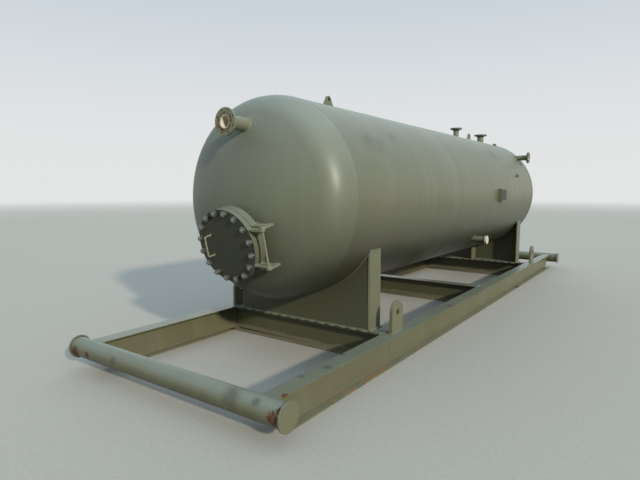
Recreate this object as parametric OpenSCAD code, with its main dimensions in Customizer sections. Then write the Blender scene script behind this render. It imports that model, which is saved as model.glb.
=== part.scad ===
// Horizontal pressure tank on a welded I-beam skid.
// Origin: on the ground, below the middle of the skid. +X runs along the tank towards the plain end,
// the manway end is at -X, and +Z is up.

/* [Tank] */
// Outside diameter of the shell
tank_od = 1854; // [1700:2:2000]
// Wall of the shell and of the heads
tank_wall = 12.7; // [9:0.1:16]
// Length between the tangent lines of the two heads
tangent_length = 6096; // [5900:2:6300]
// Length of each head's straight skirt, from its tangent line in to its weld
head_skirt = 6; // [2:1:50]
// Height of the tank's axis over the ground
axis_height = 1487; // [1440:1:1560]

/* [Manway] */
// Drop below the tank's axis of the point where the manway's axis meets the head
manway_drop = 347.8; // [310:0.1:380]
// Distance along its axis from the head out to the manway flange's face
manway_standoff = 109.8; // [104:0.1:130]
// Length of the manway's neck inside the head
manway_inside = 68.8; // [50:0.1:90]
// Downward lean of the manway, square to the head where it sits
manway_tilt = 13.3; // [11:0.1:15]
// Outside diameter of the manway flange and cover
manway_od = 635; // [615:1:660]
// Thickness of the manway flange, raised face included
manway_flange_t = 66; // [58:0.1:72]
// Thickness of the manway cover, raised face included
manway_cover_t = 53.4; // [46:0.1:60]
// Outside diameter of the manway neck
manway_neck_od = 457.2; // [420:0.1:470]
// Wall of the manway neck
manway_neck_wall = 12.7; // [9:0.1:16]
// Diameter of the circle of studs
manway_pcd = 577.9; // [570:0.1:585]
// Number of studs
stud_count = 16; // [12:4:16]
// Diameter of a stud
stud_d = 28.6; // [24:0.1:30]
// Running clearance of a stud in its hole, on the diameter
stud_play = 3.2; // [2:0.1:4]
// Height of a nut
nut_height = 28; // [22:0.5:30]
// Width of a nut across its flats
nut_flats = 46; // [40:0.5:48]
// Length of stud that shows past its nut
stud_show = 12; // [4:1:18]
// Thickness of the gasket
gasket_t = 3; // [2:0.1:5]

/* [Manway hinge and handle] */
// Distance from the manway's middle to the hinge pin
hinge_offset = 412; // [398:1:426]
// Height of each hinge arm over and under the manway's middle
hinge_spread = 152; // [140:1:165]
// Thickness of a hinge arm and of a hinge lug
hinge_plate = 16; // [12:1:20]
// Diameter of the hinge pin
hinge_pin_d = 19; // [16:0.5:24]
// Clearance of the pin in the arms, on the radius, and of the cover over its gasket
running_gap = 0.3; // [0.2:0.05:0.5]
// Radius of the rounded eye of an arm or lug
hinge_eye_r = 24; // [20:1:28]
// Distance of the handle from the manway's middle
handle_offset = 168; // [150:1:190]
// Height of the handle between its two legs
handle_height = 176; // [140:1:200]
// Stand-off of the handle from the cover
handle_reach = 75; // [60:1:90]
// Diameter of the handle's round bar
handle_bar_d = 16; // [12:1:20]

/* [Nozzles] */
// Outside diameter of the front nozzle's and rear top nozzle's pipe
large_pipe_od = 114.3; // [100:0.1:120]
// Outside diameter of their flange
large_flange_od = 228.6; // [222:0.1:245]
// Thickness of their flange, raised face included
large_flange_t = 23.9; // [19:0.1:30]
// Diameter of their circle of bolts
large_pcd = 190.5; // [184:0.1:196]
// Outside diameter of the front top nozzle's, side nozzle's and drain's pipe
small_pipe_od = 88.9; // [80:0.1:95]
// Outside diameter of their flange
small_flange_od = 190.5; // [184:0.1:206]
// Thickness of their flange, raised face included
small_flange_t = 23.9; // [19:0.1:30]
// Diameter of their circle of bolts
small_pcd = 152.4; // [146:0.1:158]
// Wall of the nozzle pipes
pipe_wall = 7.6; // [5:0.1:10]
// Diameter of a nozzle's bolt holes
bolt_hole_d = 19.1; // [16:0.1:21]
// Number of bolts in a large nozzle flange
large_bolt_count = 8; // [4:4:8]
// Number of bolts in a small nozzle flange
small_bolt_count = 4; // [4:4:8]
// Depth of the front nozzle's axis below the top of the shell
front_nozzle_drop = 290; // [270:1:330]
// Distance of the front nozzle's face from the head
front_nozzle_reach = 247; // [200:1:290]
// Height of the top nozzles' faces over the shell
top_nozzle_reach = 168; // [140:1:200]
// Place of the front top nozzle along the tank
top_nozzle_front_x = 1618; // [1500:1:1750]
// Place of the rear top nozzle along the tank
top_nozzle_rear_x = 2890; // [2700:1:2900]
// Place of the side nozzle along the tank
side_nozzle_x = 2765; // [2650:1:2900]
// Depth of the side nozzle's axis below the top of the shell
side_nozzle_drop = 294; // [260:1:340]
// Distance of the side nozzle's face from the shell
side_nozzle_reach = 227.8; // [190:0.1:270]

/* [Fittings] */
// Outside diameter of a small coupling
coupling_od = 57; // [45:1:70]
// Bore of a small coupling
coupling_bore = 33.4; // [25:0.1:40]
// Height of a coupling over the shell
coupling_reach = 32; // [20:1:50]
// Place of the upper coupling along the tank
upper_coupling_x = 2600; // [2450:1:2700]
// Angle of the upper coupling from straight up
upper_coupling_angle = 22; // [15:1:30]
// Place of the side coupling along the tank
side_coupling_x = 2080; // [1900:1:2200]
// Angle of the side coupling from straight up
side_coupling_angle = 71; // [60:1:80]
// Place of the drain along the tank
drain_x = 560; // [400:1:700]
// Height of the drain's axis over the bottom of the shell
drain_rise = 295; // [260:1:330]
// Distance of the drain's open end from the shell
drain_reach = 208; // [150:0.1:240]
// Outside diameter of the drain's cap
drain_cap_od = 116; // [105:1:125]
// Length of the drain's cap
drain_cap_length = 27; // [15:1:60]
// Place of the nameplate along the tank
nameplate_x = 1030; // [900:1:1150]
// Height of the nameplate's middle over the tank's axis
nameplate_rise = 0; // [-40:1:40]
// Length of the nameplate
nameplate_length = 260; // [200:1:300]
// Height of the nameplate
nameplate_height = 180; // [140:1:220]
// Stand-off of the nameplate's bracket from the shell
nameplate_reach = 50; // [35:1:80]
// Thickness of the bracket's plate
bracket_t = 6; // [4:0.5:8]
// Thickness of the nameplate
nameplate_t = 2; // [1:0.5:4]

/* [Top lifting lugs] */
// Distance of the front lug from the middle of the tank
front_lug_x = 2144; // [2000:1:2300]
// Distance of the rear lug from the middle of the tank
rear_lug_x = 2250; // [2150:1:2350]
// Length of a lug's foot along the tank
lug_length = 200; // [170:1:240]
// Height of a lug's hole over the shell
lug_hole_rise = 96; // [85:1:120]
// Diameter of a lug's hole
lug_hole_d = 38; // [30:1:44]
// Radius of a lug's rounded top
lug_top_r = 36; // [30:1:42]
// Thickness of a lug
lug_t = 25; // [18:1:32]

/* [Saddles] */
// Half the width of a saddle over its end plates
saddle_half_width = 800; // [760:1:820]
// Length of a saddle along the tank
saddle_length = 206; // [180:1:230]
// Thickness of a saddle's web, end plates and rib
saddle_plate = 12.7; // [9:0.1:16]
// Thickness of a saddle's base plate
saddle_base_t = 12.7; // [9:0.1:20]
// Distance the base plate reaches past the end plates
saddle_base_margin = 20; // [10:1:30]
// Distance from a cross-beam's outer edge in to the saddle's web
saddle_setback = 23; // [12:1:40]

/* [Skid] */
// Distance between the middles of the two pull pipes
skid_length = 8570; // [8300:10:8800]
// Width over the two long beams
skid_width = 2134; // [2060:1:2180]
// Depth of the beams
beam_depth = 262; // [240:1:280]
// Width of a beam's flange
beam_flange_w = 147; // [130:1:160]
// Thickness of a beam's flange
beam_flange_t = 11.2; // [8:0.1:14]
// Thickness of a beam's web
beam_web_t = 6.6; // [5:0.1:10]
// Place of the front cross-beam's middle
front_cross_x = -2579; // [-2700:1:-2500]
// Place of the middle cross-beam's middle
middle_cross_x = 135; // [0:1:250]
// Place of the rear cross-beam's middle
rear_cross_x = 2749; // [2650:1:2850]
// Outside diameter of the pull pipes
pull_pipe_od = 168.3; // [150:0.1:180]
// Wall of the pull pipes
pull_pipe_wall = 7.1; // [5:0.1:10]
// Rise of the pull pipes' tops over the beams
pull_pipe_rise = 16; // [4:1:30]
// Length over the end discs of a pull pipe
pull_pipe_length = 2382; // [2340:1:2440]
// Diameter of an end disc
end_disc_d = 200; // [184:1:205]
// Thickness of an end disc
end_disc_t = 12; // [9:0.5:16]
// Place of the front padeyes' middle
front_padeye_x = -2470; // [-2550:1:-2400]
// Place of the rear padeyes' middle
rear_padeye_x = 2875; // [2800:1:2950]
// Width of a padeye
padeye_w = 214; // [190:1:230]
// Height of a padeye over the beam
padeye_h = 295; // [260:1:320]
// Thickness of a padeye
padeye_t = 32; // [25:1:40]
// Diameter of a padeye's hole
padeye_hole_d = 48; // [38:1:60]

/* [Hidden] */
$fn = 96;

paint = "#7d8272";
dark_paint = "#5e6150";
zinc = "#c3c6c4";

tank_r = tank_od / 2;
tangent_x = tangent_length / 2;
// A two to one head, drawn with a crown and a knuckle radius.
crown_r = 0.9 * tank_od;
knuckle_r = 0.17 * tank_od;
knuckle_x = tank_r - knuckle_r;
crown_angle = asin(knuckle_x / (crown_r - knuckle_r));
crown_drop = (crown_r - knuckle_r) * cos(crown_angle);
head_depth = crown_r - crown_drop;
weld_x = tangent_x - head_skirt;
// How far a pipe or coupling reaches inside the wall that it passes through.
set_in = 18;
raised_face = 1.6;
front_nozzle_rise = tank_r - front_nozzle_drop;
side_nozzle_rise = tank_r - side_nozzle_drop;
drain_drop = tank_r - drain_rise;

manway_face_d = 533;
manway_hub_d = 505;
manway_hub_back = manway_flange_t + 28.6;
neck_set_back = 6;
neck_inside = manway_standoff + tank_wall + manway_inside;
gasket_od = 540;
gasket_id = 463;
cover_back = gasket_t + running_gap;
cover_front = cover_back + manway_cover_t;
pin_z = cover_back + raised_face + (manway_cover_t - raised_face) / 2;
arm_depth = manway_cover_t - raised_face - 4;
// The hinge arms run between the lugs with this gap at their sides.
arm_gap = 1;
lug_x = hinge_spread + hinge_plate + arm_gap;
// A lug ends this far behind the back of the flange's rim, and its foot stands on the rim's side.
lug_over = 20;
lug_foot_back = 2;
arm_overlap = 20;
pin_over = 14;
pin_head_d = hinge_pin_d + 12;
pin_head_t = 8;
handle_bend_r = 18;
nut_play = 0.2;

large_face_d = 157.2;
small_face_d = 127;
flange_hub_length = 22;
flange_hub_wall = 10;
cap_skin = 6;
nameplate_edge = 12;

base_z = beam_depth;
saddle_z = base_z + saddle_base_t;
beam_y = (skid_width - beam_flange_w) / 2;
pipe_r = pull_pipe_od / 2;
pipe_z = beam_depth + pull_pipe_rise - pipe_r;
pipe_x = skid_length / 2;
// A long beam's end is trimmed to stand against the pull pipe, and its foot is cut back on a slope.
pipe_trim = 1.4 * pipe_r;
foot_cut = pipe_z - pipe_r;
foot_clear = 8;
foot_back = pipe_r + 0.75 * foot_cut;
foot_front = 0.6 * pipe_r;
padeye_r = padeye_w / 2;
padeye_hole_z = beam_depth + padeye_h - padeye_r;

// Half the width of the shell at a height over its axis.
function shell_y(rise) = sqrt(pow(tank_r, 2) - pow(rise, 2));

// How far a head's crown stands out from its tangent line at a distance from the tank's axis.
function crown_x(rise) = sqrt(pow(crown_r, 2) - pow(rise, 2)) - crown_drop;

side_nozzle_face = shell_y(side_nozzle_rise) + side_nozzle_reach;
drain_face = shell_y(drain_drop) + drain_reach;
front_nozzle_x = -tangent_x - crown_x(front_nozzle_rise) - front_nozzle_reach;

// Where the manway's own axes stand: x up its face, z outward along its axis.
module at_manway() {
    translate([-tangent_x - crown_x(manway_drop), 0, axis_height - manway_drop])
        rotate([0, -90 - manway_tilt, 0]) translate([0, 0, manway_standoff]) children();
}

// Half the outline of a dished head, drawn on the axis, some distance inside its outer face.
module head_outline(inset) {
    crown = crown_r - inset;
    knuckle = knuckle_r - inset;
    tip = [crown * sin(crown_angle), crown * cos(crown_angle) - crown_drop];
    edge = tip[0] + (tank_od - tip[1]) * tan(crown_angle);
    intersection() {
        translate([0, -head_skirt]) square([tank_od, tank_od]);
        union() {
            intersection() {
                translate([0, -crown_drop]) circle(r = crown, $fn = 180);
                polygon([[0, -crown_drop], [0, tank_od], [edge, tank_od]]);
            }
            intersection() {
                translate([knuckle_x, 0]) circle(r = knuckle, $fn = 180);
                square([tank_od, tank_od]);
            }
            translate([0, -head_skirt]) square([knuckle_x + knuckle, head_skirt]);
        }
    }
}

// A solid dished head whose tangent line is at the origin and whose top points up.
module head_solid(inset) {
    rotate_extrude($fn = 180) head_outline(inset);
}

// Sets a head on the tank's front end.
module at_front_head() {
    translate([-tangent_x, 0, axis_height]) rotate([0, -90, 0]) children();
}

// Sets a head on the tank's rear end.
module at_rear_head() {
    translate([tangent_x, 0, axis_height]) rotate([0, 90, 0]) children();
}

// A round bar along the tank's length, centred on the tank's axis.
module tank_bar(r, length) {
    translate([0, 0, axis_height]) rotate([0, 90, 0])
        cylinder(r = r, h = length, center = true, $fn = 180);
}

// Sets a fitting on the shell, pointing outward, turned from straight up towards the right side.
module on_shell(x, angle) {
    translate([x, 0, axis_height]) rotate([angle, 0, 0]) children();
}

// A tube that stands on the origin.
module tube(od, bore, length) {
    difference() {
        cylinder(d = od, h = length);
        translate([0, 0, -1]) cylinder(d = bore, h = length + 2);
    }
}

// A ring of holes or studs, spaced on both sides of the vertical.
module ring(count, pcd) {
    for (i = [0 : count - 1])
        rotate([0, 0, (i + 0.5) * 360 / count]) translate([pcd / 2, 0, 0]) children();
}

// A slip-on flange with a raised face at z = 0, looking along +z.
module pipe_flange(od, t, face_d, pipe_od, pcd, count) {
    difference() {
        union() {
            translate([0, 0, -raised_face]) cylinder(d = face_d, h = raised_face);
            translate([0, 0, -t]) cylinder(d = od, h = t - raised_face);
            translate([0, 0, -t - flange_hub_length])
                cylinder(d = pipe_od + 2 * flange_hub_wall, h = flange_hub_length);
        }
        translate([0, 0, -t - flange_hub_length - 1])
            cylinder(d = pipe_od, h = t + flange_hub_length + 2);
        translate([0, 0, -t - 1]) ring(count, pcd) cylinder(d = bolt_hole_d, h = t + 2);
    }
}

// The manway's flange or cover is such a plate, with its raised face at z = 0, looking along +z.
module manway_plate(t) {
    translate([0, 0, -raised_face]) cylinder(d = manway_face_d, h = raised_face, $fn = 120);
    translate([0, 0, -t]) cylinder(d = manway_od, h = t - raised_face, $fn = 120);
}

// Clearance holes for the manway's studs.
module stud_holes(low, high) {
    translate([0, 0, low - 1]) ring(stud_count, manway_pcd)
        cylinder(d = stud_d + stud_play, h = high - low + 2);
}

// A heavy hexagon nut that stands on the origin.
module nut() {
    difference() {
        cylinder(d = nut_flats / cos(30), h = nut_height, $fn = 6);
        translate([0, 0, -1]) cylinder(d = stud_d + nut_play, h = nut_height + 2, $fn = 32);
    }
}

// Sets the front nozzle's face, looking forward from the tank.
module at_front_nozzle() {
    translate([front_nozzle_x, 0, axis_height + front_nozzle_rise]) rotate([0, -90, 0]) children();
}

module shell() {
    color(paint) difference() {
        tank_bar(tank_r, 2 * weld_x);
        tank_bar(tank_r - tank_wall, 2 * weld_x + 2);
        on_shell(top_nozzle_front_x, 0) cylinder(d = small_pipe_od, h = tank_od);
        on_shell(top_nozzle_rear_x, 0) cylinder(d = large_pipe_od, h = tank_od);
        translate([side_nozzle_x, 0, axis_height + side_nozzle_rise])
            rotate([90, 0, 0]) cylinder(d = small_pipe_od, h = tank_od);
        translate([drain_x, 0, axis_height - drain_drop])
            rotate([90, 0, 0]) cylinder(d = small_pipe_od, h = tank_od);
        on_shell(upper_coupling_x, upper_coupling_angle) cylinder(d = coupling_od, h = tank_od);
        on_shell(side_coupling_x, side_coupling_angle) cylinder(d = coupling_od, h = tank_od);
    }
}

module front_head() {
    color(paint) difference() {
        at_front_head() head_solid(0);
        at_front_head() translate([0, 0, -0.01]) head_solid(tank_wall);
        at_front_head() translate([0, 0, -head_skirt - 1]) cylinder(r = tank_r - tank_wall, h = 2);
        at_manway() translate([0, 0, -2 * neck_inside]) cylinder(d = manway_neck_od, h = 2 * neck_inside);
        at_front_nozzle() translate([0, 0, -2 * front_nozzle_reach])
            cylinder(d = large_pipe_od, h = 2 * front_nozzle_reach);
    }
}

module rear_head() {
    color(paint) difference() {
        at_rear_head() head_solid(0);
        at_rear_head() translate([0, 0, -0.01]) head_solid(tank_wall);
        at_rear_head() translate([0, 0, -head_skirt - 1]) cylinder(r = tank_r - tank_wall, h = 2);
    }
}

module manway_neck() {
    color(paint) at_manway() translate([0, 0, -neck_inside])
        tube(manway_neck_od, manway_neck_od - 2 * manway_neck_wall, neck_inside - neck_set_back);
}

module manway_flange() {
    color(paint) at_manway() difference() {
        union() {
            manway_plate(manway_flange_t);
            translate([0, 0, -manway_hub_back])
                cylinder(d = manway_hub_d, h = manway_hub_back - manway_flange_t + 1);
        }
        translate([0, 0, -manway_hub_back - 1])
            cylinder(d = manway_neck_od, h = manway_hub_back + 2);
        stud_holes(-manway_flange_t, 0);
    }
}

module manway_gasket() {
    color("#2b2b2a") at_manway() tube(gasket_od, gasket_id, gasket_t);
}

module manway_cover() {
    color(dark_paint) at_manway() difference() {
        translate([0, 0, cover_back]) mirror([0, 0, 1]) manway_plate(manway_cover_t);
        stud_holes(cover_back, cover_front);
    }
}

module cover_handle() {
    bar_r = handle_bar_d / 2;
    leg = handle_reach - bar_r - handle_bend_r;
    straight = handle_height - 2 * handle_bend_r;
    color(dark_paint) at_manway() translate([0, handle_offset, cover_front]) {
        for (side = [-1, 1]) {
            translate([side * handle_height / 2, 0, 0]) cylinder(r = bar_r, h = leg);
            translate([side * straight / 2, 0, leg]) rotate([90, side > 0 ? 0 : -90, 0])
                rotate_extrude(angle = 90, $fn = 64) translate([handle_bend_r, 0])
                    circle(r = bar_r, $fn = 32);
        }
        translate([-straight / 2, 0, leg + handle_bend_r]) rotate([0, 90, 0])
            cylinder(r = bar_r, h = straight);
    }
}

// A hinge plate's outline: a strip with a round eye, in the plane across the pin.
module hinge_strip(back, front, depth) {
    translate([-depth / 2, back]) square([depth, front - back]);
    circle(r = hinge_eye_r, $fn = 64);
}

module cover_hinge_arms() {
    rim_y = sqrt(pow(manway_od / 2, 2) - pow(hinge_spread + hinge_plate / 2, 2));
    color(dark_paint) at_manway() difference() {
        for (side = [-1, 1])
            translate([side * hinge_spread - hinge_plate / 2, -hinge_offset, pin_z])
                rotate([0, 90, 0]) linear_extrude(height = hinge_plate) difference() {
                    hinge_strip(0, hinge_offset - rim_y + arm_overlap, arm_depth);
                    circle(r = hinge_pin_d / 2 + running_gap, $fn = 64);
                }
        cylinder(d = manway_od, h = 4 * cover_front, center = true, $fn = 120);
    }
}

module hinge_lugs() {
    rim_y = sqrt(pow(manway_od / 2, 2) - pow(lug_x + hinge_plate / 2, 2));
    color(paint) at_manway() difference() {
        for (side = [-1, 1]) translate([side * lug_x - hinge_plate / 2, -hinge_offset, pin_z])
            rotate([0, 90, 0]) linear_extrude(height = hinge_plate) difference() {
                union() {
                    circle(r = hinge_eye_r, $fn = 64);
                    translate([0, -hinge_eye_r])
                        square([pin_z + manway_flange_t + lug_over, 2 * hinge_eye_r]);
                    translate([pin_z + lug_foot_back, 0])
                        square([manway_flange_t - lug_foot_back, hinge_offset - rim_y + arm_overlap]);
                }
                circle(d = hinge_pin_d, $fn = 64);
            }
        cylinder(d = manway_od, h = 4 * neck_inside, center = true, $fn = 120);
    }
}

module hinge_pin() {
    half = lug_x + hinge_plate / 2;
    color(paint) at_manway() translate([0, -hinge_offset, pin_z]) rotate([0, 90, 0]) {
        translate([0, 0, -half - pin_over]) cylinder(d = hinge_pin_d, h = 2 * half + pin_over, $fn = 64);
        translate([0, 0, half]) cylinder(d = pin_head_d, h = pin_head_t, $fn = 64);
    }
}

module cover_studs() {
    color(zinc) at_manway() translate([0, 0, cover_back]) ring(stud_count, manway_pcd)
        cylinder(d = stud_d, h = manway_cover_t + nut_height + stud_show, $fn = 32);
}

module cover_nuts() {
    color(zinc) at_manway() translate([0, 0, cover_front]) ring(stud_count, manway_pcd) nut();
}

module flange_studs() {
    length = manway_flange_t + nut_height + stud_show + gasket_t;
    color(zinc) at_manway() translate([0, 0, gasket_t - length]) ring(stud_count, manway_pcd)
        cylinder(d = stud_d, h = length, $fn = 32);
}

module flange_nuts() {
    color(zinc) at_manway() translate([0, 0, -manway_flange_t - nut_height])
        ring(stud_count, manway_pcd) nut();
}

// The neck of a nozzle, from its flange's face in through the wall.
module neck(pipe_od, length) {
    translate([0, 0, -length]) tube(pipe_od, pipe_od - 2 * pipe_wall, length - raised_face);
}

module front_nozzle_neck() {
    inside = crown_x(front_nozzle_rise) - crown_x(front_nozzle_rise + large_pipe_od / 2);
    color(paint) at_front_nozzle()
        neck(large_pipe_od, front_nozzle_reach + inside + tank_wall + set_in);
}

module front_nozzle_flange() {
    color(paint) at_front_nozzle()
        pipe_flange(large_flange_od, large_flange_t, large_face_d, large_pipe_od, large_pcd,
            large_bolt_count);
}

module top_nozzle_necks() {
    color(paint) {
        on_shell(top_nozzle_front_x, 0) translate([0, 0, tank_r + top_nozzle_reach])
            neck(small_pipe_od, top_nozzle_reach + tank_wall + set_in);
        on_shell(top_nozzle_rear_x, 0) translate([0, 0, tank_r + top_nozzle_reach])
            neck(large_pipe_od, top_nozzle_reach + tank_wall + set_in);
    }
}

module top_nozzle_flanges() {
    color(dark_paint) {
        on_shell(top_nozzle_front_x, 0) translate([0, 0, tank_r + top_nozzle_reach])
            pipe_flange(small_flange_od, small_flange_t, small_face_d, small_pipe_od, small_pcd,
                small_bolt_count);
        on_shell(top_nozzle_rear_x, 0) translate([0, 0, tank_r + top_nozzle_reach])
            pipe_flange(large_flange_od, large_flange_t, large_face_d, large_pipe_od, large_pcd,
                large_bolt_count);
    }
}

// Sets the side nozzle's face, looking out to the right side.
module at_side_nozzle() {
    translate([side_nozzle_x, -side_nozzle_face, axis_height + side_nozzle_rise])
        rotate([90, 0, 0]) children();
}

module side_nozzle_neck() {
    inside = shell_y(side_nozzle_rise + small_pipe_od / 2) - tank_wall * 2 - set_in;
    color(paint) at_side_nozzle() neck(small_pipe_od, side_nozzle_face - inside);
}

module side_nozzle_flange() {
    color(dark_paint) at_side_nozzle()
        pipe_flange(small_flange_od, small_flange_t, small_face_d, small_pipe_od, small_pcd,
            small_bolt_count);
}

module couplings() {
    spots = [[upper_coupling_x, upper_coupling_angle], [side_coupling_x, side_coupling_angle]];
    color(paint) for (spot = spots)
        on_shell(spot[0], spot[1]) translate([0, 0, tank_r - tank_wall - set_in])
            tube(coupling_od, coupling_bore, tank_wall + set_in + coupling_reach);
}

// A lug's outline: a foot with straight sides that meet a round top.
module lug_outline(foot, rise, top_r) {
    corner = norm([foot / 2, rise]);
    lean = atan2(rise, -foot / 2) - asin(top_r / corner) - 90;
    side = [top_r * cos(lean), rise + top_r * sin(lean)];
    translate([0, rise]) circle(r = top_r, $fn = 64);
    for (way = [-1, 1])
        polygon([[0, -lug_t], [way * foot / 2, -lug_t], [way * foot / 2, 0],
            [way * side[0], side[1]], [0, rise]]);
}

module lifting_lugs() {
    color(paint) difference() {
        for (x = [-front_lug_x, rear_lug_x]) translate([x, lug_t / 2, axis_height + tank_r])
            rotate([90, 0, 0]) linear_extrude(height = lug_t) difference() {
                lug_outline(lug_length, lug_hole_rise, lug_top_r);
                translate([0, lug_hole_rise]) circle(d = lug_hole_d, $fn = 64);
            }
        tank_bar(tank_r, 2 * weld_x);
    }
}

// Sets the lower front corner of the nameplate's bracket.
module at_nameplate() {
    translate([nameplate_x - nameplate_length / 2, -tank_r - nameplate_reach,
        axis_height + nameplate_rise - nameplate_height / 2]) children();
}

module nameplate_bracket() {
    leg = [bracket_t, nameplate_reach + tank_wall, nameplate_height];
    color(paint) difference() {
        at_nameplate() {
            cube([nameplate_length, bracket_t, nameplate_height]);
            cube(leg);
            translate([nameplate_length - bracket_t, 0, 0]) cube(leg);
        }
        tank_bar(tank_r, 2 * weld_x);
    }
}

module nameplate() {
    edge = nameplate_edge;
    color("#33342e") at_nameplate() translate([edge, -nameplate_t, edge])
        cube([nameplate_length - 2 * edge, nameplate_t, nameplate_height - 2 * edge]);
}

// Sets the drain's open end, looking out to the right side.
module at_drain() {
    translate([drain_x, -drain_face, axis_height - drain_drop]) rotate([90, 0, 0]) children();
}

module drain_pipe() {
    inside = shell_y(drain_drop + small_pipe_od / 2) - tank_wall * 2 - set_in;
    color(paint) at_drain() translate([0, 0, inside - drain_face])
        tube(small_pipe_od, small_pipe_od - 2 * pipe_wall, drain_face - inside);
}

module drain_cap() {
    color("#d9d3bb") at_drain() difference() {
        translate([0, 0, cap_skin - drain_cap_length]) cylinder(d = drain_cap_od, h = drain_cap_length);
        translate([0, 0, -drain_cap_length]) cylinder(d = small_pipe_od, h = drain_cap_length);
    }
}

// A saddle stands with its web at x = 0 and its length towards +x.
module saddle_web() {
    difference() {
        translate([0, -saddle_half_width + saddle_plate, saddle_z])
            cube([saddle_plate, 2 * (saddle_half_width - saddle_plate), axis_height - saddle_z]);
        tank_bar(tank_r, 3 * saddle_length);
    }
}

module saddle_ribs() {
    difference() {
        union() {
            for (y = [-saddle_half_width, saddle_half_width - saddle_plate])
                translate([0, y, saddle_z]) cube([saddle_length, saddle_plate, axis_height - saddle_z]);
            translate([saddle_plate, -saddle_plate / 2, saddle_z])
                cube([saddle_length - saddle_plate, saddle_plate, axis_height - saddle_z]);
        }
        tank_bar(tank_r, 3 * saddle_length);
        translate([-saddle_length, -saddle_half_width, axis_height - shell_y(saddle_half_width)])
            cube([3 * saddle_length, 2 * saddle_half_width, tank_od]);
    }
}

module saddle_base() {
    half = saddle_half_width + saddle_base_margin;
    translate([-saddle_base_margin / 2, -half, base_z])
        cube([saddle_length + saddle_base_margin, 2 * half, saddle_base_t]);
}

// Sets a saddle on the front cross-beam, its web towards the front.
module at_front_saddle() {
    translate([front_cross_x - beam_flange_w / 2 + saddle_setback, 0, 0]) children();
}

// Sets a saddle on the rear cross-beam, its web towards the rear.
module at_rear_saddle() {
    translate([rear_cross_x + beam_flange_w / 2 - saddle_setback, 0, 0]) mirror([1, 0, 0]) children();
}

module front_saddle_web() { color(paint) at_front_saddle() saddle_web(); }
module front_saddle_ribs() { color(paint) at_front_saddle() saddle_ribs(); }
module front_saddle_base() { color(paint) at_front_saddle() saddle_base(); }
module rear_saddle_web() { color(paint) at_rear_saddle() saddle_web(); }
module rear_saddle_ribs() { color(paint) at_rear_saddle() saddle_ribs(); }
module rear_saddle_base() { color(paint) at_rear_saddle() saddle_base(); }

// An I-beam's section, standing on the origin.
module beam_section() {
    translate([-beam_flange_w / 2, 0]) square([beam_flange_w, beam_flange_t]);
    translate([-beam_flange_w / 2, beam_depth - beam_flange_t]) square([beam_flange_w, beam_flange_t]);
    translate([-beam_web_t / 2, 0]) square([beam_web_t, beam_depth]);
}

// A round bar along a pull pipe.
module pull_bar(side, r, length) {
    translate([side * pipe_x, 0, pipe_z]) rotate([90, 0, 0])
        cylinder(r = r, h = length, center = true);
}

// The sloped cut under a pull pipe, going one way along the beam from the pipe's middle.
module foot_outline(way) {
    polygon([[0, -1], [way * foot_back, -1], [way * foot_back, 0],
        [way * foot_front, foot_cut + foot_clear], [0, foot_cut + foot_clear]]);
}

// A long beam ends against the pull pipes, and its foot is cut back below them.
module long_beam() {
    difference() {
        translate([-pipe_x, 0, 0]) rotate([90, 0, 90]) linear_extrude(height = skid_length)
            beam_section();
        for (side = [-1, 1]) {
            pull_bar(side, pipe_r, skid_width);
            translate([side * pipe_x, 0, pipe_z])
                cube([pipe_trim, skid_width, 3 * beam_depth], center = true);
            translate([side * pipe_x, skid_width / 2, 0]) rotate([90, 0, 0])
                linear_extrude(height = skid_width) foot_outline(-side);
        }
    }
}

module left_beam() { color(paint) translate([0, beam_y, 0]) long_beam(); }
module right_beam() { color(paint) translate([0, -beam_y, 0]) long_beam(); }

// A cross-beam fits between the long beams, its flanges cut back to clear theirs.
module cross_beam(x) {
    clear = beam_y - beam_flange_w / 2;
    tongue = beam_y - beam_web_t / 2;
    translate([x, 0, 0]) {
        translate([0, clear, 0]) rotate([90, 0, 0]) linear_extrude(height = 2 * clear) beam_section();
        translate([-beam_web_t / 2, -tongue, beam_flange_t])
            cube([beam_web_t, 2 * tongue, beam_depth - 2 * beam_flange_t]);
    }
}

module front_cross_beam() { color(paint) cross_beam(front_cross_x); }
module middle_cross_beam() { color(paint) cross_beam(middle_cross_x); }
module rear_cross_beam() { color(paint) cross_beam(rear_cross_x); }

module pull_pipe(side) {
    length = pull_pipe_length - 2 * end_disc_t;
    difference() {
        pull_bar(side, pipe_r, length);
        pull_bar(side, pipe_r - pull_pipe_wall, length + 2);
    }
}

module front_pull_pipe() { color(paint) pull_pipe(-1); }
module rear_pull_pipe() { color(paint) pull_pipe(1); }

module pipe_end_discs() {
    color(paint) for (end = [-1, 1], side = [-1, 1])
        translate([end * pipe_x, side * (pull_pipe_length - end_disc_t) / 2, pipe_z])
            rotate([90, 0, 0]) cylinder(d = end_disc_d, h = end_disc_t, center = true);
}

// A lifting plate with a round top that stands on a long beam.
module padeye() {
    translate([0, padeye_t / 2, 0]) rotate([90, 0, 0]) linear_extrude(height = padeye_t) difference() {
        union() {
            translate([0, padeye_hole_z]) circle(r = padeye_r);
            translate([-padeye_r, beam_depth]) square([padeye_w, padeye_hole_z - beam_depth]);
        }
        translate([0, padeye_hole_z]) circle(d = padeye_hole_d, $fn = 64);
    }
}

module padeyes() {
    color(paint) for (x = [front_padeye_x, rear_padeye_x], side = [-1, 1])
        translate([x, side * beam_y, 0]) padeye();
}

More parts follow.
